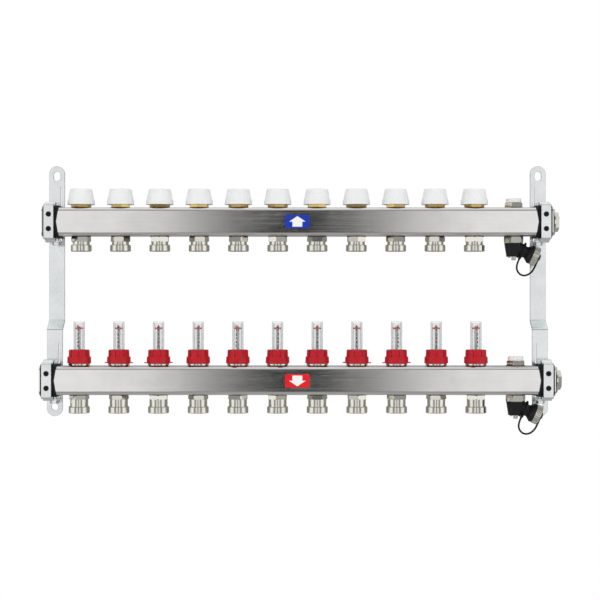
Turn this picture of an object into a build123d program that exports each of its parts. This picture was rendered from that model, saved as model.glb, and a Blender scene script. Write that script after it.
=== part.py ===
from build123d import *
from math import cos, radians, tan
import os

# Wall-hung underfloor heating manifold: a return bar with capped valves above a supply bar with
# flow meters, eleven circuits each, with a vent and a drain cock at the right end of both bars.
# Millimetres. X runs along the bars, Y points into the wall, Z is up. The origin lies on the wall
# midway between the two upper fixing slots. The viewer stands at -Y.

os.makedirs("parts", exist_ok=True)

# Layout
circuits = 11
pitch = 50.0                     # from one position to the next along a bar
bar_spacing = 200.0              # return axis above supply axis
fixing_rise = 60.0               # upper fixing slots above the return axis
supply_forward = 18.0            # the supply bar stands this much further from the wall
bar_overhang = 48.0              # from the first and last position to the bar's end

# Bars: square stainless tube with a tapped boss at each end
bar_size = 36.0
bar_wall = 1.5
bar_corner = 5.0
boss_depth = 18.0                # solid end that holds the inlet thread
inlet_bore_r = 15.15             # G1 female thread, minor radius
hole_gap = 0.3                   # radial play of a spigot in the bar's wall

# Angles that the fittings are screwed in to, in degrees
first_turn = 17
valve_turn_step = 23
nipple_turn_step = 37
knob_first_turn = -40
knob_turn_step = 29

# Brackets: one zinc-plated strip at each end
bracket_inset = 14.0             # bar end to the strip's centre line
strip_width = 20.0
strip_thickness = 3.0
strip_above_slot = 13.0
slot_width = 8.5
slot_length = 12.0
jog_above_supply = 64.0          # lower end of the jog above the supply axis
jog_height = 10.0
tab_below_supply = 47.0
tab_hole_above_end = 12.0
tab_hole_r = 4.25
bend_r = 3.0
leg_width = 4.0                  # strip that stays beside the window behind a bar
slit_width = 1.2
slit_rise = 46.0                 # top of the slit above the bar's axis
arm_length = 23.0                # arms that are bent forward over and under the bar

# Clamps: rubber liner, zinc strap, one bolt each
liner_thickness = 2.5
liner_inner = 7.5                # liner's edges from the strip's centre line
liner_outer = 12.3
liner_notch = 3.1
pip_r = 3.25
pip_spacing = 18.3
pip_proud = 0.8
strap_thickness = 2.0
strap_width = 12.5
strap_shift = 4.25               # strap's centre outwards of the strip's centre line
strap_bend = 2.6
strap_step = 2.4                 # run of the step where the strap climbs over an arm
strap_gap = 0.1
flange_reach = 9.5               # strap's flanges past the bar's axis, towards the wall
flange_wide = 17.5
hook_width = 8.0
hook_slot_gap = 0.3
bolt_r = 3.0
bolt_tap_gap = 0.05
bolt_head_flats = 10.0
bolt_head_height = 4.0
bolt_back = 3.5                  # bolt behind the bar's axis
bolt_inwards = 2.5               # bolt inwards of the strip's centre line

# Rings between a fitting and the bar
seal_thickness = 0.8
seal_lip = 2.2

# Turned corners, moulded edges and overlaps of joined pieces
nut_chamfer = 0.6
plug_chamfer = 0.8
rim_chamfer = 0.4
grip_fillet = 0.8
small_fillet = 0.6
overlap = 0.5

# Fittings that pass through the bar's wall
spigot_r = 9.9
sleeve_r = 8.0
sleeve_bore_r = 6.6
sleeve_window = 7.0
socket_gap = 0.1

# Return valves
valve_hex = 26.0                 # across corners
valve_hex_top = 22.0             # above the bar's axis
valve_thread_r = 15.0            # M30 x 1.5 actuator thread
valve_thread_top = 33.0
gland_r = 5.0
gland_height = 1.5
stem_r = 2.0
stem_gap = 0.1
stem_disc_r = 6.0
stem_disc_height = 3.0
stem_disc_z = -6.0
stem_top = 36.2
seat_z = -10.0
seat_r = 4.5
seat_height = 2.0
seat_overlap = 0.2               # the seat runs into the sleeve's wall

# White return caps
cap_base_r = 17.45
cap_shoulder_r = 16.9
cap_top_r = 13.7
cap_top = 42.0
cap_skirt = 6.0
cap_step = 0.6
cap_top_thickness = 3.0
cap_gap = 0.3
cap_rim_r = 1.2                  # rounding of the top edge
pusher_r = 4.0

# Pipe nipples, G3/4 male
nipple_hex = 25.4                # across corners
nipple_hex_height = {"return": 6.2, "supply": 5.2}
nipple_neck_r = {"return": 10.8, "supply": 11.35}
nipple_neck_height = {"return": 4.0, "supply": 9.0}
nipple_collar_r = 13.2
nipple_collar_height = 8.4
nipple_chamfer = 0.8
nipple_cone_r = 9.4
nipple_cone_depth = 5.0
nipple_socket_depth = 4.0

# Flow meters
meter_flange_r = 13.6
meter_flange_top = 21.2
meter_neck_r = 9.0
meter_neck_top = 36.0
meter_rod_gap = 0.4
knob_bottom = 21.5
knob_top = 38.4
knob_skirt_r = 15.0
knob_skirt_top = 29.6
knob_upper_r = 13.25
knob_taper = 0.35
knob_gap = 0.3
knob_groove_count = 8
knob_groove_depth = 1.1
knob_groove_width = 1.3
ear_reach = 18.0
ear_width = 7.0
ear_thickness = 1.2
glass_r = 7.05
glass_bore_r = 5.3
glass_bottom = 31.0
glass_top = 73.8
glass_end = 2.2
rod_r = 1.8
rod_top = 68.0
disc_r = 4.8
disc_z = 65.3
disc_height = 2.0
flow_plate_r = 5.8
flow_plate_z = -8.0

# Air vents
vent_hex = 23.5                  # across corners
vent_hex_top = 24.5
vent_turn = 12.0                 # degrees the vent is screwed in to
vent_spigot_bottom = 9.0
vent_needle_r = 3.2
vent_needle_end = 13.0
vent_bleed_r = 1.5
vent_knob_r = 9.65
vent_knob_top = 30.0
running_gap = 0.08

# Drain cocks
drain_hex = 25.6                 # across corners
drain_hex_bottom = -26.5
drain_turn = 9.0
drain_ledge = 0.3                # ledge for the spindle above the hexagon's lower face
drain_core_r = 6.0
drain_bore_r = 3.7
drain_core_bottom = -44.3
drain_foot_r = 6.8
drain_foot_height = 1.0
drain_top_bore_r = 4.5
drain_port_r = 2.4
spindle_square = 5.0
spindle_end = -48.5
spindle_collar_height = 1.2
swivel_top_r = 11.9
swivel_bottom_r = 9.2
swivel_gap = 0.3
swivel_bottom = -44.0
spout_z = -32.0
spout_droop = 22.5               # degrees below the horizontal
spout_root_r = 8.8
spout_root_end = 12.0
spout_neck_r = 7.5
spout_neck_start = 15.0
spout_neck_end = 17.0
spout_flange_r = 12.0
spout_flange_start = 22.5
spout_flange_end = 24.6
spout_thread_r = 9.5
spout_thread_end = 31.0
spout_bore_r = 5.0
hose_cap_start = 25.0
hose_cap_end = 33.0
hose_cap_r = 12.0
hose_cap_floor = 1.5
hose_cap_gap = 0.3
cap_chamfer = 0.5
rivet_r = 1.6
rivet_head_r = 3.0
rivet_head_height = 0.8
eyelet_r = 4.5
eyelet_thickness = 2.4
eyelet_lug_end = 7.6
tether_r = 1.2
ring_along = 12.2                # tether ring along the spout
ring_r = 10.8
ring_sag = 0.6                   # the ring hangs this far off the spout's axis
ring_lug_end = 13.4

# The tether's route below the drain body, as (outwards, up) from the cock's axis on the bar
tether_route = [(6.14, -49.05), (3.54, -55.33), (4.4, -62.3), (9.2, -67.6), (16.2, -68.0),
                (22.4, -64.2), (26.51, -58.14), (28.96, -52.23)]

arc_share = 0.45                 # of a route's shorter leg, for the arc at its corner

# End plugs
plug_thread_r = 15.0
plug_thread_length = 12.0
plug_flange_r = 16.5
plug_flange_thickness = 2.0
plug_hex = 25.0
plug_hex_height = 5.0
plug_gasket_r = 17.6
plug_gasket_thickness = 1.5
plug_turn = 7.0

# Arrow labels
label_width = 31.0
label_height = 17.0
label_thickness = 0.3
label_corner = 2.0

# Worked out from the values above
positions = circuits + 1
first_x = -pitch * (positions - 1) / 2
service_x = first_x + pitch * circuits
half_bar = -first_x + bar_overhang
bracket_x = half_bar - bracket_inset
face = bar_size / 2
liner_face = face + liner_thickness
return_y = -(strip_thickness + liner_face)
return_z = -fixing_rise
supply_y = return_y - supply_forward
supply_z = return_z - bar_spacing
wall_hole_r = spigot_r + hole_gap

rows = {"return": (return_y, return_z), "supply": (supply_y, supply_z)}
circuit_xs = [first_x + pitch * index for index in range(circuits)]


def disc(radius, low, high, hole=0.0):
    """A cylinder, or a ring with a hole, about Z from low to high."""
    solid = Pos(0, 0, (low + high) / 2) * Cylinder(radius, high - low)
    if hole > 0:
        solid -= Pos(0, 0, (low + high) / 2) * Cylinder(hole, high - low + 2)
    return solid


def chamfered(solid, size):
    """Chamfer every round edge of a plain cylinder."""
    return chamfer(solid.edges().filter_by(GeomType.CIRCLE), size)


def hexagon(corners, low, high, corner_chamfer, turn=0.0):
    """A hexagon about Z with its corners turned down at both ends."""
    radius = corners / 2
    prism = Rot(0, 0, turn) * extrude(RegularPolygon(radius, 6), high - low)
    return Pos(0, 0, low) * prism & chamfered(disc(radius, low, high), corner_chamfer)


def turned(points):
    """A solid of revolution about Z from (radius, z) points of a closed outline."""
    outline = Polyline(*[(radius, 0, z) for radius, z in points], close=True)
    return revolve(make_face(outline), Axis.Z)


def tube_profile(size, corner, length):
    """A square bar along X with rounded edges."""
    bar = Box(length, size, size)
    return fillet(bar.edges().filter_by(Axis.X), corner)


def bar():
    """One square tube, centred on its axis, with its end bosses and wall holes."""
    length = 2 * half_bar
    inner = bar_size - 2 * bar_wall
    solid = tube_profile(bar_size, bar_corner, length)
    solid -= tube_profile(inner, bar_corner - bar_wall, length - 2 * boss_depth)
    solid -= Rot(0, 90, 0) * Cylinder(inlet_bore_r, length + 2)
    for x in circuit_xs + [service_x]:
        solid -= Pos(x, 0, 0) * Cylinder(wall_hole_r, bar_size + 2)
    return solid


def strip_outline():
    """The strip seen from the front, with round ends, its slot and its tab hole."""
    top = strip_above_slot
    bottom = supply_z - tab_below_supply
    shape = SlotCenterToCenter(top - bottom - strip_width, strip_width, rotation=90)
    shape = Pos(0, (top + bottom) / 2) * shape
    shape -= SlotOverall(slot_length, slot_width, rotation=90)
    shape -= Pos(0, bottom + tab_hole_above_end) * Circle(tab_hole_r)
    return shape


def strip_side(points, thickness, radius):
    """A bent strip's section in the YZ plane, from its middle line."""
    line = FilletPolyline(*[(0, y, z) for y, z in points], radius=radius)
    return trace_section(line, thickness)


def trace_section(line, thickness):
    """The strip's section is swept as a face between the middle line's two offsets."""
    flat = Plane.YZ.to_local_coords(line)
    return Plane.YZ * trace(flat, thickness)


def arm(axis_y, axis_z, side):
    """An arm bent forward out of the window, over the bar (side 1) or under it (side -1)."""
    middle_z = axis_z + side * (liner_face + strip_thickness / 2)
    middle_y = axis_y + liner_face + strip_thickness / 2
    tip_y = axis_y + liner_face - arm_length
    root = slit_rise - bend_r if side == 1 else liner_face + strip_thickness + 2 * bend_r
    root_z = axis_z + side * root
    section = strip_side([(middle_y, root_z), (middle_y, middle_z), (tip_y, middle_z)],
                         strip_thickness, bend_r)
    width = strip_width - leg_width - slit_width
    solid = extrude(section, width / 2, both=True)
    return Pos((strip_width - width) / 2, 0, 0) * solid


def bracket():
    """The right-hand bracket, on its own centre line."""
    back = strip_thickness / 2
    front = back + supply_forward
    low = supply_z + jog_above_supply
    section = strip_side([(-back, strip_above_slot), (-back, low + jog_height), (-front, low),
                          (-front, supply_z - tab_below_supply)], strip_thickness, bend_r)
    solid = extrude(section, strip_width / 2, both=True)
    outline = extrude(Plane.XZ * strip_outline(), supply_forward + 2 * strip_thickness)
    outline = Pos(0, strip_thickness / 2, 0) * outline
    solid = solid & outline
    window_width = strip_width - leg_width
    window_height = 2 * (liner_face + strip_thickness)
    for axis_y, axis_z in rows.values():
        strip_y = axis_y + liner_face + strip_thickness / 2
        window = Box(window_width, 2 * strip_thickness, window_height)
        slit_low = axis_z
        slit_high = axis_z + slit_rise
        slit = Box(slit_width, 2 * strip_thickness, slit_high - slit_low)
        edge = -strip_width / 2 + leg_width
        solid -= Pos(edge + window_width / 2, strip_y, axis_z) * window
        solid -= Pos(edge + slit_width / 2, strip_y, (slit_low + slit_high) / 2) * slit
        for side in (1, -1):
            solid += arm(axis_y, axis_z, side)
        arm_top = axis_z + liner_face + strip_thickness / 2
        hook_cut = Box(hook_width + 2 * hook_slot_gap, strap_thickness + 2 * hook_slot_gap,
                       2 * strip_thickness)
        solid -= Pos(strap_shift, axis_y + flange_reach - strap_thickness / 2, arm_top) * hook_cut
        tap = Cylinder(bolt_r + bolt_tap_gap, 3 * strip_thickness)
        solid -= Pos(-bolt_inwards, axis_y + bolt_back, axis_z - liner_face - strip_thickness / 2) * tap
    return solid


def strap():
    """One clamp strap about the bar's axis, for the right-hand bracket."""
    half = strap_thickness / 2
    near = liner_face + half
    high = liner_face + strip_thickness + strap_gap + half
    tip = liner_face - arm_length
    climb = tip - half - strap_gap - strap_bend
    main = strip_side([(flange_reach - half, high), (climb, high), (climb - strap_step, near),
                       (-near, near), (-near, -near), (climb - strap_step, -near),
                       (climb, -high), (flange_reach, -high)], strap_thickness, strap_step / 2)
    solid = Pos(strap_shift, 0, 0) * extrude(main, strap_width / 2, both=True)
    hook = Box(hook_width, strap_thickness, high + half - liner_face)
    solid += Pos(strap_shift, flange_reach - half, (high + half + liner_face) / 2) * hook
    wide = Box(flange_wide, flange_reach - climb, strap_thickness)
    outer = strap_shift + strap_width / 2
    solid += Pos(outer - flange_wide / 2, (flange_reach + climb) / 2, -high) * wide
    for side in (1, -1):
        hole = Rot(90, 0, 0) * Cylinder(pip_r + strap_gap / 2, 4 * strap_thickness)
        solid -= Pos(strap_shift, -near, side * pip_spacing / 2) * hole
    bolt_hole = Cylinder(bolt_r + hole_gap, 4 * strap_thickness)
    return solid - Pos(-bolt_inwards, bolt_back, -high) * bolt_hole


def liner():
    """The rubber liner about the bar's axis, with its two pips, for the right-hand bracket."""
    width = liner_inner + liner_outer
    solid = tube_profile(2 * liner_face, bar_corner + liner_thickness, width)
    solid -= tube_profile(bar_size, bar_corner, width + 2)
    solid = Pos((liner_outer - liner_inner) / 2, 0, 0) * solid
    notch = Polyline((-liner_inner - 1, 0, face), (-liner_inner, 0, face),
                     (-liner_inner + liner_notch, 0, 0), (-liner_inner, 0, -face),
                     (-liner_inner - 1, 0, -face), close=True)
    solid -= extrude(make_face(notch), 2 * liner_face, both=True)
    for side in (1, -1):
        reach = strap_thickness + pip_proud + liner_thickness / 2
        pip = Rot(90, 0, 0) * Cylinder(pip_r, reach)
        middle = -(liner_face + strap_thickness + pip_proud) + reach / 2
        solid += Pos(strap_shift, middle, side * pip_spacing / 2) * pip
    return solid


def clamp_bolt():
    """The bolt that pulls a strap's lower flange up to the arm, head down."""
    top = -liner_face - strap_gap
    seat = -(liner_face + strip_thickness + strap_gap + strap_thickness)
    shank = disc(bolt_r, seat, top)
    corners = bolt_head_flats / cos(radians(30))
    head = hexagon(corners, seat - bolt_head_height, seat, bolt_head_height / 8)
    return Pos(-bolt_inwards, bolt_back, 0) * (shank + head)


def sleeve(low, high):
    """A ported tube that carries the valve parts through the bar and into the nipple."""
    solid = disc(sleeve_r, low, high, sleeve_bore_r)
    window = Box(sleeve_window, 3 * sleeve_r, 2 * sleeve_window)
    return solid - window - Rot(0, 0, 90) * window


sleeve_low = -(face - bar_wall / 2)


def valve_insert(turn):
    """Brass return valve: hexagon, actuator thread, gland and seat sleeve."""
    seat_face = face + seal_thickness
    solid = hexagon(valve_hex, seat_face, valve_hex_top, nut_chamfer, turn)
    solid += disc(valve_thread_r, valve_hex_top, valve_thread_top)
    solid += disc(gland_r, valve_thread_top, valve_thread_top + gland_height)
    solid += disc(spigot_r, face - bar_wall, seat_face)
    solid += sleeve(sleeve_low, face - bar_wall)
    solid += disc(sleeve_bore_r + seat_overlap, seat_z - seat_height, seat_z, seat_r)
    solid -= disc(stem_r + stem_gap, 0, valve_thread_top + gland_height + 1)
    return solid


def valve_stem():
    """Valve stem with its closing disc."""
    solid = disc(stem_r, stem_disc_z, stem_top)
    return solid + disc(stem_disc_r, stem_disc_z, stem_disc_z + stem_disc_height)


def return_cap():
    """White screw cap over a return valve."""
    bottom = valve_hex_top + cap_gap
    shoulder = bottom + cap_skirt
    solid = turned([(0, bottom), (cap_base_r, bottom), (cap_shoulder_r, shoulder),
                    (cap_shoulder_r - cap_step, shoulder), (cap_top_r, cap_top), (0, cap_top)])
    rim = solid.edges().filter_by(GeomType.CIRCLE).sort_by(Axis.Z)[-1]
    solid = fillet(rim, cap_rim_r)
    inner_top = cap_top - cap_top_thickness
    solid -= disc(valve_thread_r + cap_gap, bottom - 1, valve_thread_top + cap_gap)
    solid -= disc(cap_top_r - cap_top_thickness, bottom, inner_top)
    solid += disc(pusher_r, stem_top + cap_gap, inner_top + overlap)
    return solid


def nipple(row, turn):
    """Nickel pipe nipple below the bar, with a hexagon and a G3/4 male collar."""
    top = -(face + seal_thickness)
    hex_low = top - nipple_hex_height[row]
    neck_low = hex_low - nipple_neck_height[row]
    low = neck_low - nipple_collar_height
    solid = hexagon(nipple_hex, hex_low, top, nipple_chamfer, turn)
    solid += disc(nipple_neck_r[row], neck_low, hex_low)
    collar = disc(nipple_collar_r, low, neck_low)
    solid += chamfered(collar, nipple_chamfer)
    spigot_top = sleeve_low + nipple_socket_depth
    solid += disc(spigot_r, top, spigot_top)
    solid -= disc(sleeve_bore_r, low - 1, spigot_top + 1)
    solid -= disc(sleeve_r + socket_gap, sleeve_low - socket_gap, spigot_top + 1)
    solid -= turned([(0, low - 1), (nipple_cone_r + overlap, low - 1), (nipple_cone_r, low),
                     (sleeve_bore_r, low + nipple_cone_depth), (0, low + nipple_cone_depth)])
    return solid


def meter_body():
    """Flow meter body: flange on the bar, neck inside the knob, sleeve into the nipple."""
    seat_face = face + seal_thickness
    solid = chamfered(disc(meter_flange_r, seat_face, meter_flange_top), rim_chamfer)
    solid += disc(meter_neck_r, meter_flange_top, meter_neck_top)
    solid += disc(spigot_r, face - bar_wall, seat_face)
    solid += sleeve(sleeve_low, face - bar_wall)
    solid -= disc(rod_r + meter_rod_gap, 0, meter_neck_top + 1)
    solid -= disc(glass_r + socket_gap, glass_bottom, meter_neck_top + 1)
    return solid


def flow_knob(turn):
    """Red balancing knob with a stepped, grooved grip and two pointer ears."""
    solid = turned([(0, knob_bottom), (knob_skirt_r, knob_bottom),
                    (knob_skirt_r - knob_taper, knob_skirt_top), (knob_upper_r, knob_skirt_top),
                    (knob_upper_r - knob_taper, knob_top), (0, knob_top)])
    solid = fillet(solid.edges().filter_by(GeomType.CIRCLE).sort_by(Axis.Z)[-1], grip_fillet)
    groove_height = knob_top - knob_skirt_top + 2
    groove = Box(2 * knob_groove_depth, knob_groove_width, groove_height)
    for index in range(knob_groove_count):
        place = Rot(0, 0, 360 * index / knob_groove_count)
        solid -= place * Pos(knob_upper_r, 0, knob_skirt_top + groove_height / 2) * groove
    ear = Box(2 * ear_reach, ear_width, ear_thickness)
    ear = fillet(ear.edges().filter_by(Axis.Z), ear_width / 4)
    solid += Pos(0, 0, knob_bottom + ear_thickness / 2) * ear
    solid -= disc(meter_neck_r + knob_gap, knob_bottom - 1, meter_neck_top + knob_gap)
    solid -= disc(glass_r + knob_gap, meter_neck_top, knob_top + 1)
    return Rot(0, 0, turn) * solid


def sight_glass():
    """Clear sight tube, closed at the top."""
    solid = fillet(disc(glass_r, glass_bottom, glass_top).edges().sort_by(Axis.Z)[-1], grip_fillet)
    return solid - disc(glass_bore_r, glass_bottom - 1, glass_top - glass_end)


def flow_indicator():
    """Indicator disc on its rod, with the flow plate at the rod's lower end."""
    solid = disc(rod_r, flow_plate_z, rod_top)
    solid += disc(disc_r, disc_z - disc_height / 2, disc_z + disc_height / 2)
    return solid + disc(flow_plate_r, flow_plate_z - 2, flow_plate_z)


def vent_body():
    """Nickel vent body screwed into the bar's top."""
    seat_face = face + seal_thickness
    solid = hexagon(vent_hex, seat_face, vent_hex_top, nut_chamfer, vent_turn)
    solid += disc(spigot_r, vent_spigot_bottom, seat_face)
    solid -= disc(vent_needle_r + running_gap, vent_needle_end - running_gap, vent_hex_top + 1)
    return solid - disc(vent_bleed_r, vent_spigot_bottom - 1, vent_needle_end + 1)


def vent_knob():
    """Pale vent knob on its needle."""
    low = vent_hex_top + cap_gap
    knob = disc(vent_knob_r, low, vent_knob_top)
    solid = fillet(knob.edges().sort_by(Axis.Z)[-1], small_fillet)
    return solid + disc(vent_needle_r, vent_needle_end, low)


def along_spout(solid):
    """Lay a piece that is built about Z, upwards from the spout's root, along the spout."""
    return Pos(0, 0, spout_z) * Rot(0, 90 + spout_droop, 0) * solid


def drain_nut():
    """Nickel drain fitting: hexagon, spigot and the core that the spout swivels on."""
    seat_face = -(face + seal_thickness)
    solid = hexagon(drain_hex, drain_hex_bottom, seat_face, plug_chamfer, drain_turn)
    solid += disc(spigot_r, seat_face, -vent_spigot_bottom)
    solid += disc(drain_core_r, drain_core_bottom, drain_hex_bottom)
    foot = drain_core_bottom - drain_foot_height
    solid += disc(drain_foot_r, foot, drain_core_bottom)
    ledge = drain_hex_bottom + drain_ledge
    solid -= disc(drain_top_bore_r, ledge, 0)
    solid -= disc(drain_bore_r, foot - 1, 0)
    port = Pos(drain_core_r, 0, spout_z) * Rot(0, 90, 0) * Cylinder(drain_port_r, 2 * drain_core_r)
    return solid - port


def drain_spindle():
    """Drain plug in the core, with a square end for a key."""
    ledge = drain_hex_bottom + drain_ledge + running_gap
    foot = drain_core_bottom - drain_foot_height
    solid = disc(drain_bore_r - running_gap, foot, ledge)
    solid += disc(drain_top_bore_r - running_gap, ledge, ledge + spindle_collar_height)
    square = Box(spindle_square, spindle_square, foot - spindle_end)
    solid += Pos(0, 0, (foot + spindle_end) / 2) * square
    solid -= disc(drain_port_r, spout_z, ledge + spindle_collar_height + 1)
    port = Pos(0, drain_bore_r, spout_z) * Rot(90, 0, 0) * Cylinder(drain_port_r, 2 * drain_bore_r)
    return solid - port


def spout_body():
    """Black swivel body with its drooping spout."""
    top = drain_hex_bottom - swivel_gap
    body = turned([(0, top), (swivel_top_r, top), (swivel_bottom_r, swivel_bottom), (0, swivel_bottom)])
    spout = turned([(0, 0), (spout_root_r, 0), (spout_root_r, spout_root_end),
                    (spout_neck_r, spout_neck_start), (spout_neck_r, spout_neck_end),
                    (spout_flange_r, spout_flange_start), (spout_flange_r, spout_flange_end),
                    (spout_thread_r, spout_flange_end), (spout_thread_r, spout_thread_end),
                    (0, spout_thread_end)])
    solid = body + along_spout(spout)
    solid -= along_spout(disc(spout_bore_r, 0, spout_thread_end + 1))
    solid -= disc(drain_hex / 2 + swivel_gap, top, top + 2 * spout_root_r)
    solid -= disc(drain_foot_r + swivel_gap, swivel_bottom - spout_root_r, swivel_bottom)
    return solid - disc(drain_core_r + running_gap, swivel_bottom - 1, top + 1)


def tether_ring():
    """Ring of the tether round the spout's root, with the lug that the tether leaves from."""
    ring = Pos(ring_sag, 0, 0) * Torus(ring_r, tether_r)
    lug = Rot(0, 90, 0) * disc(tether_r, ring_r + ring_sag, ring_lug_end)
    return along_spout(Pos(0, 0, ring_along) * (ring + lug))


def tether_eyelet():
    """Eyelet of the tether on the hose cap's rivet, with its lug."""
    low = hose_cap_end + hose_cap_gap
    eyelet = disc(eyelet_r, low, low + eyelet_thickness)
    lug = Pos(0, 0, low + eyelet_thickness / 2)
    lug = lug * Rot(0, 90, 0) * disc(eyelet_thickness / 2, eyelet_r - 1, eyelet_lug_end)
    hole = disc(rivet_r + hose_cap_gap, low - 1, low + eyelet_thickness + 1)
    return along_spout(eyelet + lug - hole)


def hose_cap():
    """Nickel hose cap with the rivet that holds the tether."""
    rivet_top = hose_cap_end + eyelet_thickness + 2 * hose_cap_gap
    solid = chamfered(disc(hose_cap_r, hose_cap_start, hose_cap_end), cap_chamfer)
    solid -= disc(spout_thread_r + hose_cap_gap, hose_cap_start - 1, hose_cap_end - hose_cap_floor)
    solid += disc(rivet_r, hose_cap_end - overlap, rivet_top)
    solid += disc(rivet_head_r, rivet_top, rivet_top + rivet_head_height)
    return along_spout(solid)


def tether_radii():
    """The largest arc that each corner of the route leaves room for."""
    points = [Vector(x, 0, z) for x, z in tether_route]
    radii = []
    for before, corner, after in zip(points, points[1:], points[2:]):
        turn = (corner - before).get_angle(after - corner)
        shorter = min((corner - before).length, (after - corner).length)
        radii.append(arc_share * shorter / tan(radians(turn / 2)))
    return radii


def tether():
    """The tether's free stretch between its ring and its eyelet."""
    points = [(x, 0, z) for x, z in tether_route]
    line = FilletPolyline(*points, radius=tether_radii())
    section = Plane(origin=line @ 0, z_dir=line % 0) * Circle(tether_r)
    return sweep(section, path=line)


def ring_seal(low, hole):
    """A flat seal between a fitting and the bar."""
    return disc(spigot_r + seal_lip, low, low + seal_thickness, hole)


def end_plug():
    """Plug screwed into a bar's right end, built about Z from the bar's end face."""
    flange_top = plug_gasket_thickness + plug_flange_thickness
    solid = disc(plug_thread_r, -plug_thread_length, plug_gasket_thickness)
    solid += disc(plug_flange_r, plug_gasket_thickness, flange_top)
    return solid + hexagon(plug_hex, flange_top, flange_top + plug_hex_height, plug_chamfer, plug_turn)


def at_bar_end(solid):
    """Turn a piece built about Z to point out of a bar's right end."""
    return Pos(half_bar, 0, 0) * Rot(0, 90, 0) * solid


def label():
    """Arrow label's plate on the bar's front."""
    plate = Box(label_width, label_thickness, label_height)
    plate = fillet(plate.edges().filter_by(Axis.Y), label_corner)
    return Pos(0, -face - label_thickness / 2, 0) * plate


def place(row, x, solid):
    """Move a piece from the bar's own axis to its bar and its place along it."""
    axis_y, axis_z = rows[row]
    return Pos(x, axis_y, axis_z) * solid


def write(name, *pieces):
    """Write one node: a piece, or a group of separate pieces that are the same."""
    solids = [solid for piece in pieces for solid in piece.solids()]
    shape = solids[0] if len(solids) == 1 else Compound(children=solids)
    export_step(shape, f"parts/{name}.step")


def turn_of(index, step):
    """Each fitting is screwed in to its own angle."""
    return (first_turn + step * index) % 60


def write_frame():
    """Bars, brackets, clamps, plugs and labels."""
    right = Pos(bracket_x, 0, 0) * bracket()
    write("right_bracket", right)
    write("left_bracket", mirror(right, Plane.YZ))
    for row in rows:
        write(f"{row}_bar", place(row, 0, bar()))
    groups = {"clamp_straps": strap(), "rubber_liners": liner(), "clamp_bolts": clamp_bolt()}
    for name, piece in groups.items():
        rights = [place(row, bracket_x, piece) for row in rows]
        write(name, *rights, *[mirror(solid, Plane.YZ) for solid in rights])
    write("end_plugs", *[place(row, 0, at_bar_end(end_plug())) for row in rows])
    write("arrow_labels", *[place(row, 0, label()) for row in rows])


def write_circuits():
    """Valves, caps, flow meters and nipples of the eleven circuits."""
    write("valve_inserts", *[place("return", x, valve_insert(turn_of(index, valve_turn_step)))
                             for index, x in enumerate(circuit_xs)])
    write("valve_stems", *[place("return", x, valve_stem()) for x in circuit_xs])
    write("pipe_nipples", *[place(row, x, nipple(row, turn_of(index, nipple_turn_step)))
                            for row in rows for index, x in enumerate(circuit_xs)])
    write("flow_meter_bodies", *[place("supply", x, meter_body()) for x in circuit_xs])
    write("sight_glasses", *[place("supply", x, sight_glass()) for x in circuit_xs])
    for index, x in enumerate(circuit_xs):
        number = f"{index + 1:02d}"
        write(f"return_cap_{number}", place("return", x, return_cap()))
        knob = flow_knob(knob_first_turn + knob_turn_step * index)
        write(f"flow_knob_{number}", place("supply", x, knob))
        write(f"flow_indicator_{number}", place("supply", x, flow_indicator()))


def write_service_ends():
    """Vents and drain cocks at the right end of both bars."""
    write("vent_bodies", *[place(row, service_x, vent_body()) for row in rows])
    write("drain_nuts", *[place(row, service_x, drain_nut()) for row in rows])
    for row in rows:
        write(f"vent_knob_{row}", place(row, service_x, vent_knob()))
        write(f"drain_spout_{row}", place(row, service_x, spout_body()),
              place(row, service_x, tether_ring()), place(row, service_x, tether_eyelet()))
        write(f"drain_spindle_{row}", place(row, service_x, drain_spindle()))
        write(f"hose_cap_{row}", place(row, service_x, hose_cap()))
        write(f"tether_{row}", place(row, service_x, tether()))


def write_seals():
    """Flat seals under every fitting, and the gaskets behind the end plugs."""
    upper = ring_seal(face, spigot_r + hole_gap)
    lower = ring_seal(-face - seal_thickness, spigot_r + hole_gap)
    xs = circuit_xs + [service_x]
    seals = [place(row, x, seal) for row in rows for x in xs for seal in (upper, lower)]
    gasket = disc(plug_gasket_r, 0, plug_gasket_thickness, plug_thread_r + hole_gap)
    seals += [place(row, 0, at_bar_end(gasket)) for row in rows]
    write("seal_rings", *seals)


write_frame()
write_circuits()
write_service_ends()
write_seals()

print("tether radii", [round(radius, 1) for radius in tether_radii()])
print("tether volume", round(tether().volume, 2))
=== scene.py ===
import bmesh
import bpy
import math
from mathutils import Matrix, Vector


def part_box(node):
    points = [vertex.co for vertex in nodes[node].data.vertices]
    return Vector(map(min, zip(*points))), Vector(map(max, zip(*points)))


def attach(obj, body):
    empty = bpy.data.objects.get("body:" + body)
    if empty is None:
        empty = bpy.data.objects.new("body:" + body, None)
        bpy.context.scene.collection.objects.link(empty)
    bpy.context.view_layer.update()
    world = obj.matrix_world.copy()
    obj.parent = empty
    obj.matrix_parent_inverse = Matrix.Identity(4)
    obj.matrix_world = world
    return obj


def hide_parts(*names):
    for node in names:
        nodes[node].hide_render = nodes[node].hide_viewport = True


# Looks of a wall-hung underfloor heating manifold. Metres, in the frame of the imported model:
# X along the bars, Y into the wall, Z up, the viewer at -Y.

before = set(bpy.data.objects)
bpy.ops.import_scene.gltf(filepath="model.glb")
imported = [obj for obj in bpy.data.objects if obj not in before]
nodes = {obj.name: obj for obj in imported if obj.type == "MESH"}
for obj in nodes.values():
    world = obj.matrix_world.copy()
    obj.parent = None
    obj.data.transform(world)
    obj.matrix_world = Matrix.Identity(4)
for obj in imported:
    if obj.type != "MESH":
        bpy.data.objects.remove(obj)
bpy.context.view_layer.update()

MM = 0.001
CIRCUITS = 11
ROWS = ("return", "supply")

# Noise that drifts a finish's colour and roughness
PATCHES_PER_METRE = 38.0

# Sight tube's opacity where it faces the eye and at its edges
TUBE_ALPHA_FACING = 0.10
TUBE_ALPHA_EDGE = 0.62

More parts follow.
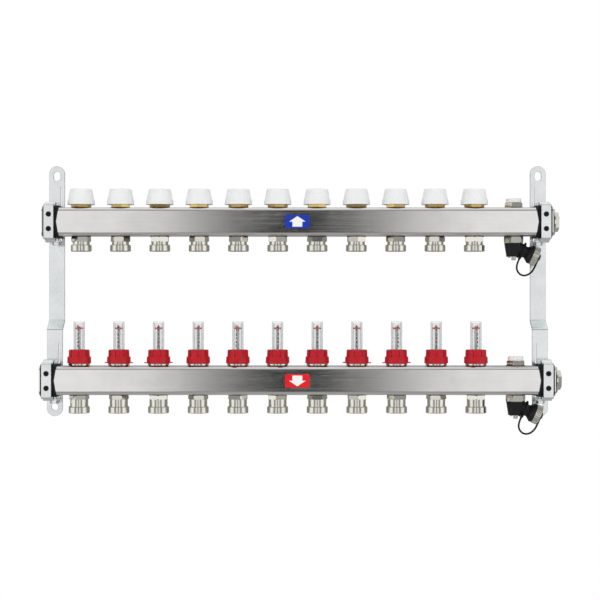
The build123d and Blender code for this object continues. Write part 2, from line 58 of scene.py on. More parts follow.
# The indicator's red disc, below the top of its rod
DISC_BOTTOM_DOWN = 4.2 * MM
DISC_TOP_DOWN = 1.2 * MM

# Arrow labels: height of a label, thickness of its film and of its ink, the arrow's outline in mm
LABEL_HEIGHT = 17.0 * MM
LABEL_CORNER = 2.0 * MM
FILM_THICKNESS = 0.3 * MM
INK_THICKNESS = 0.06 * MM
ARROW_OUTLINE = [(-6.2, -6.6), (6.2, -6.6), (6.2, -0.2), (10.4, -0.2), (0, 6.8), (-10.4, -0.2),
                 (-6.2, -0.2)]

# Flow scale on a sight tube: first numeral above the bar's axis, spacing, height, turn of each tube
SCALE_TOP = 67.6 * MM
SCALE_SPACING = 4.9 * MM
NUMERALS = 6
NUMERAL_HEIGHT = 4.6 * MM
NUMERAL_WEIGHT = 0.035
PRINT_PROUD = 0.03 * MM
SCALE_TURNS = [-6, -2, 4, 10, -14, 6, 0, -8, 12, -4, 8]

# Return caps above the bar's axis: radius and height of the tapered wall's two ends
CAP_WALL_LOW = (16.3 * MM, 28.3 * MM)
CAP_WALL_HIGH = (13.7 * MM, 42.0 * MM)
CAP_RIBS_UP = 34.4 * MM

# Drain spouts: angle below the horizontal, root below the bar's axis, hose cap's knurl along it
SPOUT_DROOP = math.radians(22.5)
SPOUT_DROP = 32.0 * MM
KNURL_ALONG = 29.0 * MM
VENT_RIBS_UP = 27.2 * MM

# Tethers: route from the spout's ring to the hose cap, as (outwards, up) from the bar's axis in mm
TETHER_ROUTE = [(6.14, -49.05), (3.54, -55.33), (4.4, -62.3), (9.2, -67.6), (16.2, -68.0),
                (22.4, -64.2), (26.51, -58.14), (28.96, -52.23)]
TETHER_DIAMETER = 2.4 * MM

# Studio: brightness of what the metal reflects, by direction
DARK_CENTRE = 0.003
DARK_LEVEL = 0.0
FRONT_LEVEL = 0.92
GAP_LEVEL = 0.34
SIDE_LEVEL = 1.1
RIM_LEVEL = 0.30
BACK_LEVEL = 0.30
TOP_LEVEL = 0.85

# Where one brightness blends into the next, as a part of the unit direction: across, up or deep
DARK_END = (0.010, 0.115)
FRONT_END = (0.34, 0.50)
GAP_END = (0.66, 0.78)
RIM_START = (0.24, 0.40)
BACK_START = (-0.15, 0.45)
TOP_START = (0.66, 0.85)

# Floor: depth below the supply bar, half its width
FLOOR_DROP = 1.1
FLOOR_REACH = 4.0

# Soft lamps: name, place from the middle between the bars, width, height, watts
LAMPS = [("left_softbox", (-1.35, -1.3, 0.1), 1.3, 1.6, 9.5),
         ("right_softbox", (1.35, -1.3, 0.1), 1.3, 1.6, 9.5),
         ("top_softbox", (0, -0.5, 1.5), 2.4, 0.9, 10),
         ("low_softbox", (0, -0.7, -0.45), 1.6, 0.3, 1.5),
         ("back_softbox", (0, 1.6, 0.5), 2.0, 1.2, 8)]

# Camera: width seen at the return bar and distance from it
SENSOR_WIDTH = 36.0
SEEN_WIDTH = 0.7632
CAMERA_DISTANCE = 2.0
CAMERA_RIGHT = 3.3 * MM
CAMERA_DOWN = 99 * MM


def middle(node):
    """Middle of a node's box at rest."""
    low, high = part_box(node)
    return (Vector(low) + Vector(high)) / 2


def size(node):
    """Size of a node's box at rest."""
    low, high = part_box(node)
    return Vector(high) - Vector(low)


def circuit_name(stem, index):
    return f"{stem}_{index + 1:02d}"


BAR = {row: middle(f"{row}_bar") for row in ROWS}
BAR_HALF = size("return_bar").z / 2
CAPS = [circuit_name("return_cap", index) for index in range(CIRCUITS)]
KNOBS = [circuit_name("flow_knob", index) for index in range(CIRCUITS)]
INDICATORS = [circuit_name("flow_indicator", index) for index in range(CIRCUITS)]
CIRCUIT_X = [middle(name).x for name in CAPS]
SERVICE_X = middle("vent_knob_return").x


# ---------------------------------------------------------------- shader groups

def new_group(name, inputs, outputs):
    """An empty shader node group with named sockets, given as (name, type, default)."""
    tree = bpy.data.node_groups.new(name, "ShaderNodeTree")
    for label, kind, value in inputs:
        socket = tree.interface.new_socket(label, in_out="INPUT", socket_type=kind)
        socket.default_value = value
    for label, kind in outputs:
        tree.interface.new_socket(label, in_out="OUTPUT", socket_type=kind)
    return tree, tree.nodes.new("NodeGroupInput"), tree.nodes.new("NodeGroupOutput")


def node(tree, kind, **values):
    """A node with its properties and unlinked inputs set by name."""
    made = tree.nodes.new(kind)
    for key, value in values.items():
        if key in made.bl_rna.properties:
            setattr(made, key, value)
        else:
            made.inputs[key.replace("_", " ")].default_value = value
    return made


def math_node(tree, operation, first, second):
    """A Math node; each side is a socket or a number."""
    made = node(tree, "ShaderNodeMath", operation=operation)
    for socket, value in zip(made.inputs, (first, second)):
        if isinstance(value, (int, float)):
            socket.default_value = value
        else:
            tree.links.new(value, socket)
    return made.outputs[0]


def mix_colour(tree, factor, first, second):
    """A colour mix; each side is a socket or a colour."""
    made = node(tree, "ShaderNodeMix", data_type="RGBA")
    sides = ((made.inputs[0], factor), (made.inputs[6], first), (made.inputs[7], second))
    for socket, value in sides:
        if isinstance(value, bpy.types.NodeSocket):
            tree.links.new(value, socket)
        else:
            socket.default_value = value
    return made.outputs[2]


def noise(tree, vector, scale, detail):
    """A noise pattern's value over the given coordinates."""
    made = node(tree, "ShaderNodeTexNoise", Scale=scale, Detail=detail)
    tree.links.new(vector, made.inputs["Vector"])
    return made.outputs["Fac"]


def surface_group():
    """Fine surface: colour drift, smudged roughness and a small grain in the height."""
    tree, inputs, outputs = new_group(
        "surface_grain",
        [("Colour", "NodeSocketColor", (0.5, 0.5, 0.5, 1)), ("Drift", "NodeSocketFloat", 0.05),
         ("Roughness", "NodeSocketFloat", 0.4), ("Smudge", "NodeSocketFloat", 0.1),
         ("Grain Scale", "NodeSocketFloat", 900.0), ("Stretch", "NodeSocketVector", (1, 1, 1))],
        [("Colour", "NodeSocketColor"), ("Roughness", "NodeSocketFloat"),
         ("Height", "NodeSocketFloat")])
    place = node(tree, "ShaderNodeTexCoord")
    mapping = node(tree, "ShaderNodeMapping")
    tree.links.new(place.outputs["Object"], mapping.inputs["Vector"])
    tree.links.new(inputs.outputs["Stretch"], mapping.inputs["Scale"])
    grain = node(tree, "ShaderNodeTexNoise", Detail=4.0)
    tree.links.new(mapping.outputs["Vector"], grain.inputs["Vector"])
    tree.links.new(inputs.outputs["Grain Scale"], grain.inputs["Scale"])
    patches = noise(tree, place.outputs["Object"], PATCHES_PER_METRE, 4.0)
    centred = math_node(tree, "SUBTRACT", patches, 0.5)
    smudge = math_node(tree, "MULTIPLY", centred, inputs.outputs["Smudge"])
    grain_part = math_node(tree, "SUBTRACT", grain.outputs["Fac"], 0.5)
    grain_part = math_node(tree, "MULTIPLY", grain_part, inputs.outputs["Smudge"])
    rough = math_node(tree, "ADD", inputs.outputs["Roughness"], smudge)
    rough = math_node(tree, "ADD", rough, grain_part)
    drift = math_node(tree, "MULTIPLY", patches, inputs.outputs["Drift"])
    darker = mix_colour(tree, drift, inputs.outputs["Colour"], (0.0, 0.0, 0.0, 1))
    tree.links.new(darker, outputs.inputs["Colour"])
    tree.links.new(rough, outputs.inputs["Roughness"])
    tree.links.new(grain.outputs["Fac"], outputs.inputs["Height"])
    return tree


def edge_group():
    """Mask of a face's corners from the angle between the face and its rounded normal: painted dark
    reflection on the zinc's rolled edges, a lighter edge tone on the mouldings.
    """
    tree, inputs, outputs = new_group(
        "edge_shade_and_tone", [("Radius", "NodeSocketFloat", 0.001), ("Amount", "NodeSocketFloat", 4.0)],
        [("Mask", "NodeSocketFloat")])
    bevel = node(tree, "ShaderNodeBevel", samples=4)
    tree.links.new(inputs.outputs["Radius"], bevel.inputs["Radius"])
    geometry = node(tree, "ShaderNodeNewGeometry")
    dot = node(tree, "ShaderNodeVectorMath", operation="DOT_PRODUCT")
    tree.links.new(bevel.outputs["Normal"], dot.inputs[0])
    tree.links.new(geometry.outputs["Normal"], dot.inputs[1])
    turned_away = math_node(tree, "SUBTRACT", 1.0, dot.outputs["Value"])
    mask = node(tree, "ShaderNodeMath", operation="MULTIPLY", use_clamp=True)
    tree.links.new(turned_away, mask.inputs[0])
    tree.links.new(inputs.outputs["Amount"], mask.inputs[1])
    tree.links.new(mask.outputs[0], outputs.inputs["Mask"])
    return tree


SURFACE = surface_group()
EDGES = edge_group()


def finish_material(name, colour, roughness, metallic=0.0, drift=0.08, smudge=0.1, grain=900.0,
                    stretch=(1, 1, 1), bump=0.02, edge=None, edge_radius=0.8, edge_amount=3.0,
                    **fixed):
    """A Principled material fed by the surface group, with an optional colour on its edges."""
    material = bpy.data.materials.new(name)
    material.use_nodes = True
    tree = material.node_tree
    shader = tree.nodes["Principled BSDF"]
    for key, value in fixed.items():
        shader.inputs[key.replace("_", " ")].default_value = value
    shader.inputs["Metallic"].default_value = metallic
    surface = node(tree, "ShaderNodeGroup", node_tree=SURFACE)
    surface.inputs["Colour"].default_value = (*colour, 1)
    surface.inputs["Drift"].default_value = drift
    surface.inputs["Roughness"].default_value = roughness
    surface.inputs["Smudge"].default_value = smudge
    surface.inputs["Grain Scale"].default_value = grain
    surface.inputs["Stretch"].default_value = stretch
    colour_out = surface.outputs["Colour"]
    if edge is not None:
        # The edge colour is painted dark reflection on the zinc's rolled edges, and a lighter edge tone
        # on the mouldings.
        edge_mask = node(tree, "ShaderNodeGroup", node_tree=EDGES)
        edge_mask.inputs["Radius"].default_value = edge_radius * MM
        edge_mask.inputs["Amount"].default_value = edge_amount
        colour_out = mix_colour(tree, edge_mask.outputs["Mask"], colour_out, (*edge, 1))
    tree.links.new(colour_out, shader.inputs["Base Color"])
    tree.links.new(surface.outputs["Roughness"], shader.inputs["Roughness"])
    bumper = node(tree, "ShaderNodeBump", Strength=bump, Distance=0.0005)
    tree.links.new(surface.outputs["Height"], bumper.inputs["Height"])
    tree.links.new(bumper.outputs["Normal"], shader.inputs["Normal"])
    return material


def indicator_material():
    """Grey rod with a red disc: the colour follows the height on the rod."""
    material = finish_material("indicator_red_on_grey", (0.48, 0.48, 0.48), 0.4)
    tree = material.node_tree
    shader = tree.nodes["Principled BSDF"]
    low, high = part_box(INDICATORS[0])
    disc_low = high[2] - DISC_BOTTOM_DOWN
    disc_high = high[2] - DISC_TOP_DOWN
    place = node(tree, "ShaderNodeTexCoord")
    split = node(tree, "ShaderNodeSeparateXYZ")
    tree.links.new(place.outputs["Object"], split.inputs[0])
    above = math_node(tree, "GREATER_THAN", split.outputs["Z"], disc_low)
    below = math_node(tree, "LESS_THAN", split.outputs["Z"], disc_high)
    inside = math_node(tree, "MULTIPLY", above, below)
    plain = shader.inputs["Base Color"].links[0].from_socket
    colour = mix_colour(tree, inside, plain, (0.62, 0.03, 0.05, 1))
    tree.links.new(colour, shader.inputs["Base Color"])
    return material


def clear_material():
    """Clear moulded tube: see-through where it faces the eye, greyer at its edges and its top."""
    material = finish_material("clear_tube", (0.42, 0.43, 0.43), 0.12, drift=0.05, smudge=0.05,
                               grain=700.0, bump=0.02)
    tree = material.node_tree
    shader = tree.nodes["Principled BSDF"]
    facing = node(tree, "ShaderNodeLayerWeight", Blend=0.5)
    spread = node(tree, "ShaderNodeMapRange")
    spread.inputs["From Min"].default_value = 0.15
    spread.inputs["To Min"].default_value = TUBE_ALPHA_FACING
    spread.inputs["To Max"].default_value = TUBE_ALPHA_EDGE
    tree.links.new(facing.outputs["Facing"], spread.inputs["Value"])
    tree.links.new(spread.outputs["Result"], shader.inputs["Alpha"])
    return material


BRUSHED_ALONG_X = (0.012, 1.0, 1.0)
STAINLESS = finish_material("brushed_stainless", (0.86, 0.85, 0.835), 0.10, metallic=1.0, drift=0.10,
                            smudge=0.10, grain=900.0, stretch=BRUSHED_ALONG_X, bump=0.10)
# The dark edge colour is painted reflection: the studio's dark seen in the bracket's rolled edges.
ZINC = finish_material("bright_zinc", (0.965, 1.0, 1.0), 0.24, metallic=1.0, drift=0.05, smudge=0.12,
                       grain=500.0, bump=0.03, edge=(0.22, 0.26, 0.28), edge_radius=1.0,
                       edge_amount=4.0)
NICKEL = finish_material("satin_nickel", (0.78, 0.76, 0.69), 0.12, metallic=1.0, drift=0.12,
                         smudge=0.10, grain=700.0, bump=0.03)
BRASS = finish_material("turned_brass", (0.74, 0.54, 0.20), 0.17, metallic=1.0, drift=0.15,
                        smudge=0.10, grain=700.0, bump=0.03)
PIN_STEEL = finish_material("ground_steel", (0.55, 0.56, 0.57), 0.28, metallic=1.0)
RUBBER = finish_material("black_rubber", (0.006, 0.007, 0.008), 0.55, drift=0.2, grain=1400.0,
                         bump=0.12, edge=(0.03, 0.03, 0.035), edge_radius=1.0,
                         Specular_IOR_Level=0.2)
BLACK = finish_material("black_moulding", (0.007, 0.007, 0.010), 0.42, drift=0.15, grain=1600.0,
                        bump=0.08, edge=(0.04, 0.04, 0.045), edge_radius=0.8,
                        Specular_IOR_Level=0.3)
WHITE = finish_material("white_moulding", (0.82, 0.83, 0.835), 0.42, drift=0.03, grain=1300.0,
                        bump=0.04, edge=(0.88, 0.88, 0.88), Coat_Weight=0.10)
PALE = finish_material("pale_moulding", (0.80, 0.80, 0.77), 0.35, drift=0.03, grain=1300.0,
                       bump=0.04, Coat_Weight=0.15)
RED = finish_material("red_moulding", (0.50, 0.006, 0.016), 0.45, drift=0.10, grain=1300.0,
                      bump=0.04, edge=(0.62, 0.03, 0.04), edge_radius=0.6, Specular_IOR_Level=0.25)
CLEAR = clear_material()
INDICATOR = indicator_material()
BLUE_FILM = finish_material("blue_film", (0.0, 0.028, 0.40), 0.30, drift=0.06, grain=900.0, bump=0.02,
                            Coat_Weight=0.3)
RED_FILM = finish_material("red_film", (0.74, 0.0, 0.005), 0.30, drift=0.06, grain=900.0, bump=0.02,
                           Coat_Weight=0.3)
WHITE_INK = finish_material("white_ink", (0.87, 0.87, 0.87), 0.45, drift=0.02, grain=900.0, bump=0.01)
BLACK_INK = finish_material("black_ink", (0.012, 0.012, 0.014), 0.5, drift=0.05, grain=900.0, bump=0.01)


def dress(names, material):
    """Give CAD nodes a finish."""
    for name in names:
        slots = nodes[name].material_slots
        if not slots:
            nodes[name].data.materials.append(material)
        for slot in slots:
            slot.material = material


# ---------------------------------------------------------------- mesh helpers

def mesh_object(name, vertices, faces, material, smooth=True):
    """A mesh whose place is in its vertices."""
    mesh = bpy.data.meshes.new(name)
    mesh.from_pydata([tuple(vertex) for vertex in vertices], [], faces)
    mesh.materials.append(material)
    work = bmesh.new()
    work.from_mesh(mesh)
    bmesh.ops.recalc_face_normals(work, faces=work.faces)
    work.to_mesh(mesh)
    work.free()
    for polygon in mesh.polygons:
        polygon.use_smooth = smooth
    made = bpy.data.objects.new(name, mesh)
    bpy.context.scene.collection.objects.link(made)
    return made


def piece(made, body, replaced=()):
    """Tell the frame what a piece rides on, and hide the parts that it stands for."""
    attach(made, body)
    if replaced:
        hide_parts(*replaced)
    return made


def rounded_plate(width, height, thickness, corner, steps=6):
    """Vertices and faces of a plate in the XZ plane, its front at -thickness."""
    outline = []
    for quarter in range(4):
        start = quarter * math.pi / 2
        cx = (width / 2 - corner) * (1 if quarter in (0, 3) else -1)
        cz = (height / 2 - corner) * (1 if quarter in (0, 1) else -1)
        for step in range(steps + 1):
            angle = start + step / steps * math.pi / 2
            outline.append((cx + corner * math.cos(angle), cz + corner * math.sin(angle)))
    return extruded(outline, thickness)


def extruded(outline, thickness):
    """An outline in the XZ plane as a flat solid from y = 0 to y = -thickness."""
    count = len(outline)
    vertices = [(x, 0, z) for x, z in outline] + [(x, -thickness, z) for x, z in outline]
    faces = [tuple(range(count)), tuple(reversed(range(count, 2 * count)))]
    for index in range(count):
        after = (index + 1) % count
        faces.append((index, after, count + after, count + index))
    return vertices, faces


def moved(vertices, place):
    return [Vector(vertex) + Vector(place) for vertex in vertices]


# ---------------------------------------------------------------- labels

def labels():
    """Blue label with an arrow up on the return bar, red with an arrow down on the supply bar."""
    low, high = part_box("arrow_labels")
    width = high[0] - low[0]
    for row, material, way in (("return", BLUE_FILM, 1), ("supply", RED_FILM, -1)):
        face = (0, BAR[row].y - BAR_HALF, BAR[row].z)
        vertices, faces = rounded_plate(width, LABEL_HEIGHT, FILM_THICKNESS, LABEL_CORNER)
        plate = mesh_object(f"{row}_label", moved(vertices, face), faces, material, smooth=False)
        outline = [(x * MM, z * MM * way) for x, z in ARROW_OUTLINE]
        vertices, faces = extruded(outline, INK_THICKNESS)
        place = (0, face[1] - FILM_THICKNESS, face[2])
        mark = mesh_object(f"{row}_arrow", moved(vertices, place), faces, WHITE_INK, smooth=False)
        piece(mark, "manifold")
        piece(plate, "manifold", ("arrow_labels",))


# ---------------------------------------------------------------- sight tube numerals

def digit_mesh(text, height):
    """One numeral as a flat mesh in the XZ plane, centred."""
    curve = bpy.data.curves.new(f"digit_{text}", "FONT")
    curve.body = text
    curve.size = height
    curve.offset = height * NUMERAL_WEIGHT
    curve.align_x = "CENTER"
    curve.align_y = "CENTER"
    curve.resolution_u = 3
    holder = bpy.data.objects.new("digit", curve)
    bpy.context.scene.collection.objects.link(holder)
    mesh = bpy.data.meshes.new_from_object(holder.evaluated_get(bpy.context.evaluated_depsgraph_get()))
    bpy.data.objects.remove(holder)
    points = [(vertex.co.x, vertex.co.y) for vertex in mesh.vertices]
    faces = [tuple(polygon.vertices) for polygon in mesh.polygons]
    return points, faces


def numerals():
    """The flow scale printed on each sight tube, turned with the tube."""
    low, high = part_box("sight_glasses")
    radius = (high[1] - low[1]) / 2 + PRINT_PROUD
    top = BAR["supply"].z + SCALE_TOP
    digits = [digit_mesh(str(number), NUMERAL_HEIGHT) for number in range(NUMERALS)]
    vertices = []
    faces = []
    for x, turn in zip(CIRCUIT_X, SCALE_TURNS):
        for number, (points, cells) in enumerate(digits):
            start = len(vertices)
            for across, up in points:
                angle = across / radius + math.radians(turn)
                vertices.append((x + radius * math.sin(angle),
                                 BAR["supply"].y - radius * math.cos(angle),
                                 top - number * SCALE_SPACING + up))
            faces += [tuple(start + index for index in cell) for cell in cells]
    scale = mesh_object("flow_scale_numerals", vertices, faces, BLACK_INK, smooth=False)
    piece(scale, "manifold")


# ---------------------------------------------------------------- knurls and ribs

def rib_tree():
    """Geometry Nodes: ribs in a ring, from Count, Radius, Width, Depth, Length and inward Lean."""
    tree = bpy.data.node_groups.new("ring_of_ribs", "GeometryNodeTree")
    sockets = [("Count", "NodeSocketInt", 36), ("Radius", "NodeSocketFloat", 0.012),
               ("Width", "NodeSocketFloat", 0.001), ("Depth", "NodeSocketFloat", 0.0006),
               ("Length", "NodeSocketFloat", 0.007), ("Lean", "NodeSocketFloat", 0.0)]
    for name, kind, value in sockets:
        tree.interface.new_socket(name, in_out="INPUT", socket_type=kind).default_value = value
    tree.interface.new_socket("Finish", in_out="INPUT", socket_type="NodeSocketMaterial")
    tree.interface.new_socket("Geometry", in_out="OUTPUT", socket_type="NodeSocketGeometry")
    inputs = tree.nodes.new("NodeGroupInput")
    outputs = tree.nodes.new("NodeGroupOutput")
    circle = tree.nodes.new("GeometryNodeMeshCircle")
    tree.links.new(inputs.outputs["Count"], circle.inputs["Vertices"])
    tree.links.new(inputs.outputs["Radius"], circle.inputs["Radius"])
    rib = tree.nodes.new("GeometryNodeMeshCylinder")
    rib.inputs["Vertices"].default_value = 8
    rib.inputs["Radius"].default_value = 0.5
    rib.inputs["Depth"].default_value = 1.0
    scale = tree.nodes.new("ShaderNodeCombineXYZ")
    tree.links.new(inputs.outputs["Depth"], scale.inputs["X"])
    tree.links.new(inputs.outputs["Width"], scale.inputs["Y"])
    tree.links.new(inputs.outputs["Length"], scale.inputs["Z"])
    shaped = tree.nodes.new("GeometryNodeTransform")
    tree.links.new(rib.outputs["Mesh"], shaped.inputs["Geometry"])
    tree.links.new(scale.outputs["Vector"], shaped.inputs["Scale"])
    leaning = tree.nodes.new("ShaderNodeCombineXYZ")
    tree.links.new(inputs.outputs["Lean"], leaning.inputs["Y"])
    leant = tree.nodes.new("GeometryNodeTransform")
    tree.links.new(shaped.outputs["Geometry"], leant.inputs["Geometry"])
    tree.links.new(leaning.outputs["Vector"], leant.inputs["Rotation"])
    place = tree.nodes.new("GeometryNodeInputPosition")
    face_out = tree.nodes.new("FunctionNodeAlignEulerToVector")
    face_out.axis = "X"
    face_out.pivot_axis = "Z"
    tree.links.new(place.outputs["Position"], face_out.inputs["Vector"])
    copies = tree.nodes.new("GeometryNodeInstanceOnPoints")
    tree.links.new(circle.outputs["Mesh"], copies.inputs["Points"])
    tree.links.new(leant.outputs["Geometry"], copies.inputs["Instance"])
    tree.links.new(face_out.outputs["Rotation"], copies.inputs["Rotation"])
    real = tree.nodes.new("GeometryNodeRealizeInstances")
    tree.links.new(copies.outputs["Instances"], real.inputs["Geometry"])
    paint = tree.nodes.new("GeometryNodeSetMaterial")
    tree.links.new(real.outputs["Geometry"], paint.inputs["Geometry"])
    tree.links.new(inputs.outputs["Finish"], paint.inputs["Material"])
    tree.links.new(paint.outputs["Geometry"], outputs.inputs["Geometry"])
    return tree


RIBS = rib_tree()


def ribs(name, material, places, **sizes):
    """Rings of ribs at the given placements, as one plain mesh."""
    holder = bpy.data.objects.new(name, bpy.data.meshes.new(name))
    bpy.context.scene.collection.objects.link(holder)
    modifier = holder.modifiers.new("ribs", "NODES")
    modifier.node_group = RIBS
    keys = {item.name: item.identifier for item in RIBS.interface.items_tree if item.in_out == "INPUT"}
    for label, value in sizes.items():
        modifier[keys[label.capitalize()]] = value
    modifier[keys["Finish"]] = material
    evaluated = holder.evaluated_get(bpy.context.evaluated_depsgraph_get())
    ring = bpy.data.meshes.new_from_object(evaluated)
    bpy.data.objects.remove(holder)
    work = bmesh.new()
    for place in places:
        copy = ring.copy()
        copy.transform(place)
        work.from_mesh(copy)
    mesh = bpy.data.meshes.new(name)
    work.to_mesh(mesh)
    work.free()
    mesh.materials.clear()
    mesh.materials.append(material)
    made = bpy.data.objects.new(name, mesh)
    bpy.context.scene.collection.objects.link(made)
    return made


def along_spout(row, distance):
    """Placement on a drain spout's axis, its Z along the spout."""
    turn = Matrix.Rotation(math.pi / 2 + SPOUT_DROOP, 4, "Y")
    root = Matrix.Translation((SERVICE_X, BAR[row].y, BAR[row].z - SPOUT_DROP))
    return root @ turn @ Matrix.Translation((0, 0, distance))


def cap_ribs():
    """Fine ribs down the tapered wall of every return cap."""
    taper = math.atan2(CAP_WALL_LOW[0] - CAP_WALL_HIGH[0], CAP_WALL_HIGH[1] - CAP_WALL_LOW[1])
    for index, x in enumerate(CIRCUIT_X):
        place = Matrix.Translation((x, BAR["return"].y, BAR["return"].z + CAP_RIBS_UP))
        grip = ribs(circuit_name("cap_ribs", index), WHITE, [place], count=36, radius=15.08 * MM,
                    width=0.9 * MM, depth=0.62 * MM, length=10.6 * MM, lean=-taper)
        piece(grip, circuit_name("cap", index))


def knurls():
    """Knurls on the hose caps and ribs on the vent knobs."""
    for row in ROWS:
        cap = ribs(f"{row}_hose_cap_knurl", NICKEL, [along_spout(row, KNURL_ALONG)],
                   count=40, radius=11.85 * MM, width=1.1 * MM, depth=0.9 * MM, length=6.0 * MM)
        piece(cap, f"{row}_hose_cap")
        place = Matrix.Translation((SERVICE_X, BAR[row].y, BAR[row].z + VENT_RIBS_UP))
        knob = ribs(f"{row}_vent_knob_ribs", PALE, [place],
                    count=36, radius=9.6 * MM, width=0.9 * MM, depth=0.6 * MM, length=3.6 * MM)
        piece(knob, f"{row}_vent")


# ---------------------------------------------------------------- tethers

def tethers():
    """Black tethers that hang from the drain spouts to their hose caps."""
    for row in ROWS:
        curve = bpy.data.curves.new(f"{row}_tether", "CURVE")
        curve.dimensions = "3D"
        curve.bevel_depth = TETHER_DIAMETER / 2
        curve.bevel_resolution = 5
        curve.resolution_u = 8
        curve.use_fill_caps = True
        spline = curve.splines.new("NURBS")
        spline.points.add(len(TETHER_ROUTE) - 1)
        for point, (out, up) in zip(spline.points, TETHER_ROUTE):
            point.co = (SERVICE_X + out * MM, BAR[row].y, BAR[row].z + up * MM, 1)
        spline.order_u = 3
        spline.use_endpoint_u = True
        curve.materials.append(BLACK)
        made = bpy.data.objects.new(f"{row}_tether", curve)
        bpy.context.scene.collection.objects.link(made)
        piece(made, f"{row}_spout", (f"tether_{row}",))


# ---------------------------------------------------------------- stage

def area_light(name, place, target, width, height, watts):
    """A soft rectangular lamp aimed at a point."""
    lamp = bpy.data.lights.new(name, "AREA")
    lamp.shape = "RECTANGLE"
    lamp.size = width
    lamp.size_y = height
    lamp.energy = watts
    made = bpy.data.objects.new(name, lamp)
    made.location = place
    made.rotation_euler = (Vector(target) - place).to_track_quat("-Z", "Y").to_euler()
    bpy.context.scene.collection.objects.link(made)
    made.visible_camera = False
    made.visible_glossy = False
    return made


def stage_material(name, colour):
    """White to the eye, a plain surface to lamps and reflections, unseen from behind."""
    material = bpy.data.materials.new(name)
    material.use_nodes = True
    tree = material.node_tree
    tree.nodes.clear()
    output = node(tree, "ShaderNodeOutputMaterial")
    diffuse = node(tree, "ShaderNodeBsdfDiffuse")
    diffuse.inputs["Color"].default_value = (*colour, 1)
    glow = node(tree, "ShaderNodeEmission", Strength=1.0)
    path = node(tree, "ShaderNodeLightPath")
    shown = node(tree, "ShaderNodeMixShader")
    tree.links.new(path.outputs["Is Camera Ray"], shown.inputs[0])
    tree.links.new(diffuse.outputs[0], shown.inputs[1])
    tree.links.new(glow.outputs[0], shown.inputs[2])
    clear = node(tree, "ShaderNodeBsdfTransparent")
    geometry = node(tree, "ShaderNodeNewGeometry")
    sided = node(tree, "ShaderNodeMixShader")
    tree.links.new(geometry.outputs["Backfacing"], sided.inputs[0])
    tree.links.new(shown.outputs[0], sided.inputs[1])
    tree.links.new(clear.outputs[0], sided.inputs[2])
    tree.links.new(sided.outputs[0], output.inputs["Surface"])
    return material


def stage():
    """Pale floor well below the hung part, white world, soft lamps left and right."""
    floor_z = BAR["supply"].z - FLOOR_DROP
    reach = FLOOR_REACH
    corners = [(-reach, -reach, floor_z), (reach, -reach, floor_z), (reach, reach, floor_z),
               (-reach, reach, floor_z)]
    mesh = bpy.data.meshes.new("floor")
    mesh.from_pydata(corners, [], [(0, 1, 2, 3)])
    mesh.materials.append(stage_material("floor", (0.42, 0.42, 0.42)))
    floor = bpy.data.objects.new("floor", mesh)
    bpy.context.scene.collection.objects.link(floor)
    studio_world()
    middle_z = (BAR["return"].z + BAR["supply"].z) / 2
    target = (0, 0, middle_z)
    for name, place, width, height, watts in LAMPS:
        above = Vector((0, 0, middle_z))
        area_light(name, Vector(place) + above, target, width, height, watts)


def ramp(tree, value, low, high):
    """0 below low, 1 above high, smooth between."""
    made = node(tree, "ShaderNodeMapRange", interpolation_type="SMOOTHSTEP")
    made.inputs["From Min"].default_value = low
    made.inputs["From Max"].default_value = high
    tree.links.new(value, made.inputs["Value"])
    return made.outputs["Result"]


def blend_value(tree, factor, first, second):
    """first where the factor is 0, second where it is 1; each a socket or a number."""
    made = node(tree, "ShaderNodeMix", data_type="FLOAT")
    tree.links.new(factor, made.inputs[0])
    for socket, value in zip((made.inputs[2], made.inputs[3]), (first, second)):
        if isinstance(value, (int, float)):
            socket.default_value = value
        else:
            tree.links.new(value, socket)
    return made.outputs[0]


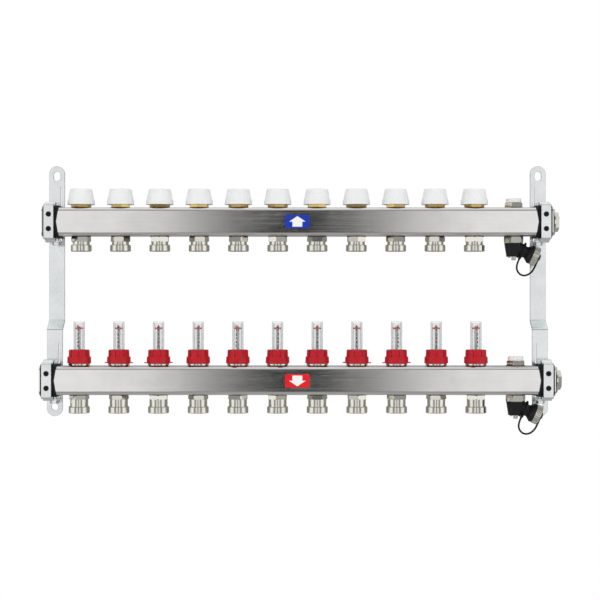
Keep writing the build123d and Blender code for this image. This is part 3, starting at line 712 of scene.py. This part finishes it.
def studio_world():
    """White to the eye. In reflections a studio: dark by the viewer, pale at the sides and above,
    greyer behind the part, so that flat steel darkens in its middle and round metal has edges."""
    world = bpy.data.worlds.new("white_studio")
    bpy.context.scene.world = world
    world.use_nodes = True
    tree = world.node_tree
    sky = tree.nodes["Background"]
    sky.inputs["Color"].default_value = (1, 1, 1, 1)
    place = node(tree, "ShaderNodeTexCoord")
    split = node(tree, "ShaderNodeSeparateXYZ")
    tree.links.new(place.outputs["Generated"], split.inputs[0])
    across, depth, up = split.outputs
    offset = math_node(tree, "ADD", across, DARK_CENTRE)
    sideways = math_node(tree, "ABSOLUTE", offset, 0.0)
    bright_side = blend_value(tree, ramp(tree, sideways, *DARK_END), DARK_LEVEL, FRONT_LEVEL)
    bright_side = blend_value(tree, ramp(tree, sideways, *FRONT_END), bright_side, GAP_LEVEL)
    bright_side = blend_value(tree, ramp(tree, sideways, *GAP_END), bright_side, SIDE_LEVEL)
    raised = math_node(tree, "ABSOLUTE", up, 0.0)
    front = blend_value(tree, ramp(tree, raised, *RIM_START), bright_side, RIM_LEVEL)
    behind = ramp(tree, depth, *BACK_START)
    around = blend_value(tree, behind, front, BACK_LEVEL)
    overhead = blend_value(tree, ramp(tree, up, *TOP_START), around, TOP_LEVEL)
    path = node(tree, "ShaderNodeLightPath")
    strength = blend_value(tree, path.outputs["Is Camera Ray"], overhead, 1.0)
    tree.links.new(strength, sky.inputs["Strength"])


def camera():
    """Level camera in front of the bars, at a height between them."""
    lens = bpy.data.cameras.new("camera")
    lens.sensor_width = SENSOR_WIDTH
    lens.lens = SENSOR_WIDTH * CAMERA_DISTANCE / SEEN_WIDTH
    made = bpy.data.objects.new("camera", lens)
    made.location = (CAMERA_RIGHT, BAR["return"].y - CAMERA_DISTANCE, BAR["return"].z - CAMERA_DOWN)
    made.rotation_euler = (math.pi / 2, 0, 0)
    bpy.context.scene.collection.objects.link(made)
    bpy.context.scene.camera = made


bpy.context.scene.view_settings.view_transform = "Standard"
camera()
tethers()
dress(["return_bar", "supply_bar"], STAINLESS)
dress(["left_bracket", "right_bracket", "clamp_straps", "clamp_bolts"], ZINC)
dress(["rubber_liners", "seal_rings"], RUBBER)
dress(["valve_inserts"], BRASS)
dress(["valve_stems", "drain_spindle_return", "drain_spindle_supply"], PIN_STEEL)
dress(["pipe_nipples", "flow_meter_bodies", "vent_bodies", "drain_nuts", "end_plugs",
       "hose_cap_return", "hose_cap_supply"], NICKEL)
dress(["drain_spout_return", "drain_spout_supply"], BLACK)
dress(["vent_knob_return", "vent_knob_supply"], PALE)
dress(CAPS, WHITE)
dress(KNOBS, RED)
dress(INDICATORS, INDICATOR)
dress(["sight_glasses"], CLEAR)
labels()
numerals()
knurls()
cap_ribs()
stage()
